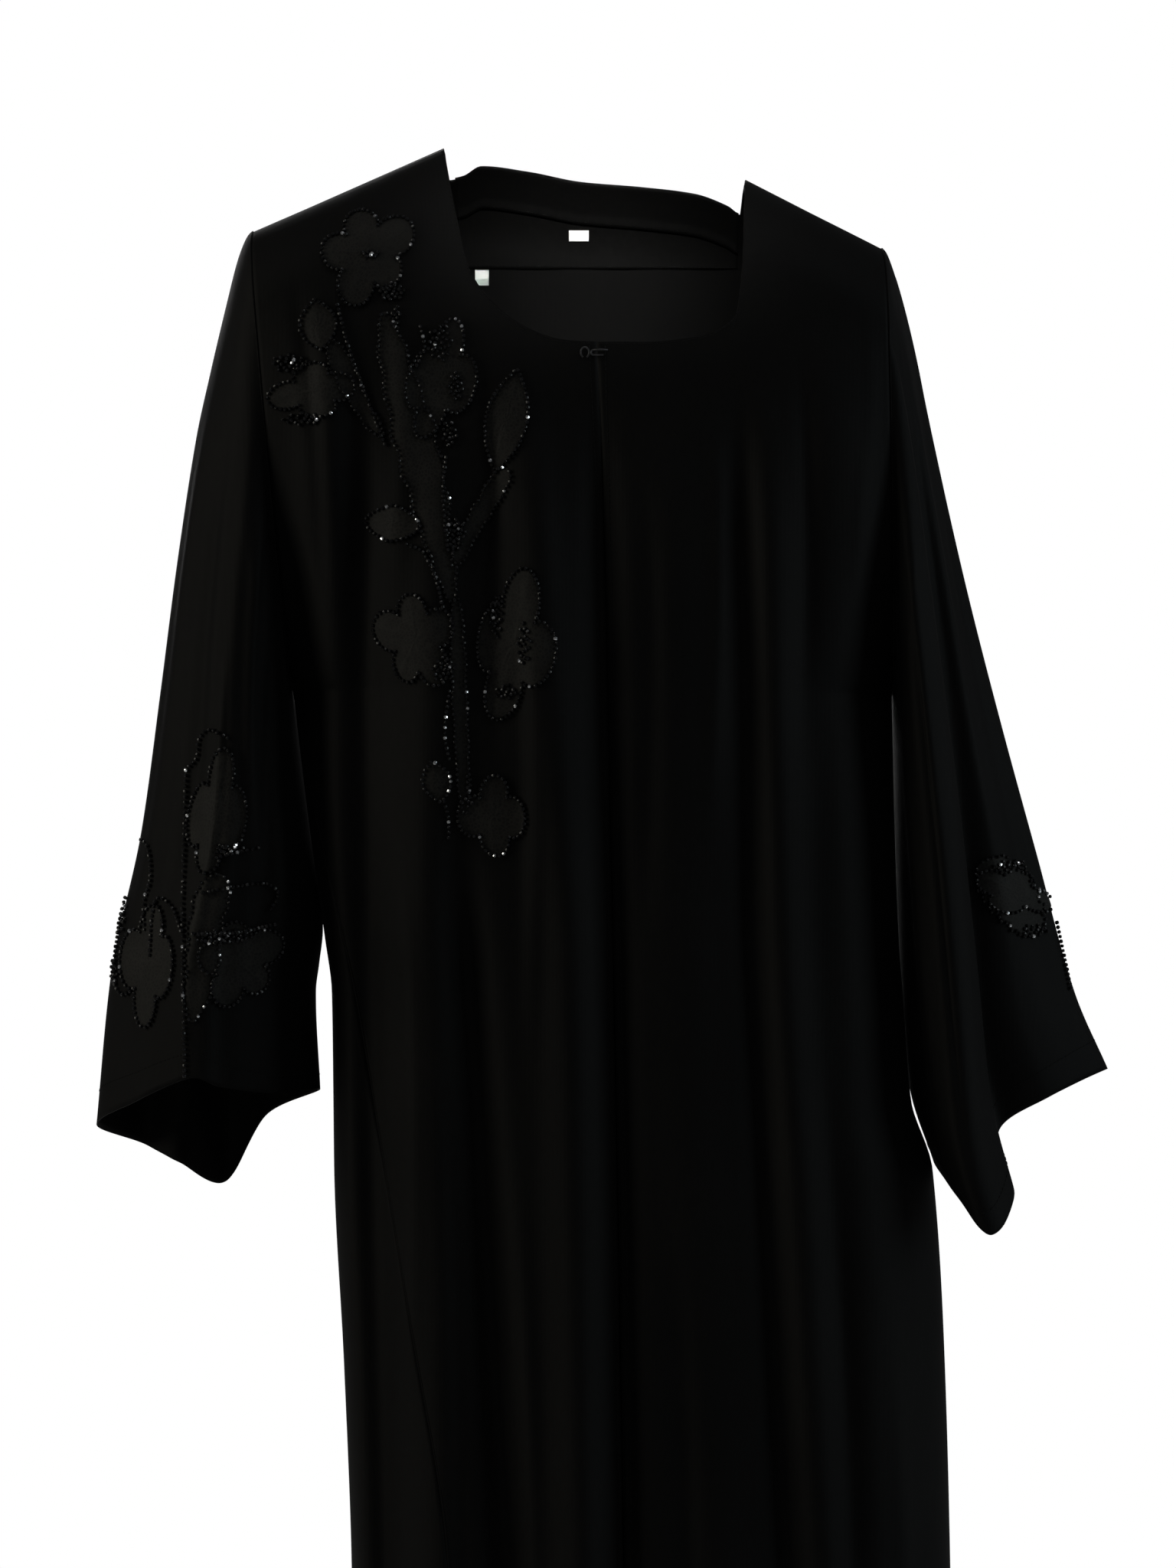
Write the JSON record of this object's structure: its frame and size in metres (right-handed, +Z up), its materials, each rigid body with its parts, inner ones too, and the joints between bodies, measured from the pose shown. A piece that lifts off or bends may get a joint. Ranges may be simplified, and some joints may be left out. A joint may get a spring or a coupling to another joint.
{
  "type": "abaya cloak",
  "caption": "Long loose black robe for wear over other clothes, hanging open and hollow, with wide sleeves, a hooked neck and applied flowers and leaves.",
  "frame": {"origin": "between the two neck points, where the garment is held up", "axes": "+Z up along the garment's length, -Y towards its front, +X towards the wearer's left"},
  "size_m": [0.6624, 0.214, 1.4108],
  "materials": {
    "black_cloth": "soft matt crepe with a faint sheen",
    "black_trim": "smooth matt trim cloth",
    "lace": "sheer lace laid on the cloth",
    "white_tape": "woven satin label tape, bare",
    "dark_metal": "dark plated wire",
    "jet_bead": "polished black glass beads"
  },
  "bodies": {
    "root": {"applique_bud": "lace", "applique_cuff_flower": "lace", "applique_cuff_leaf": "lace", "applique_jagged_leaf": "lace", "applique_shoulder_flower": "lace", "applique_small_flower": "lace", "applique_spear_leaf": "lace", "applique_twin_leaf": "lace", "applique_waist_flower": "lace", "applique_wing_leaf": "lace", "back": "black_cloth", "back_neck_band": "black_trim", "back_neck_facing": "black_trim", "care_tab": "white_tape", "front_left": "black_cloth", "front_right": "black_cloth", "neck_eye": "dark_metal", "neck_hook": "dark_metal", "neck_label": "white_tape", "sleeve_left": "black_cloth", "sleeve_right": "black_cloth"}
  },
  "joints": []
}
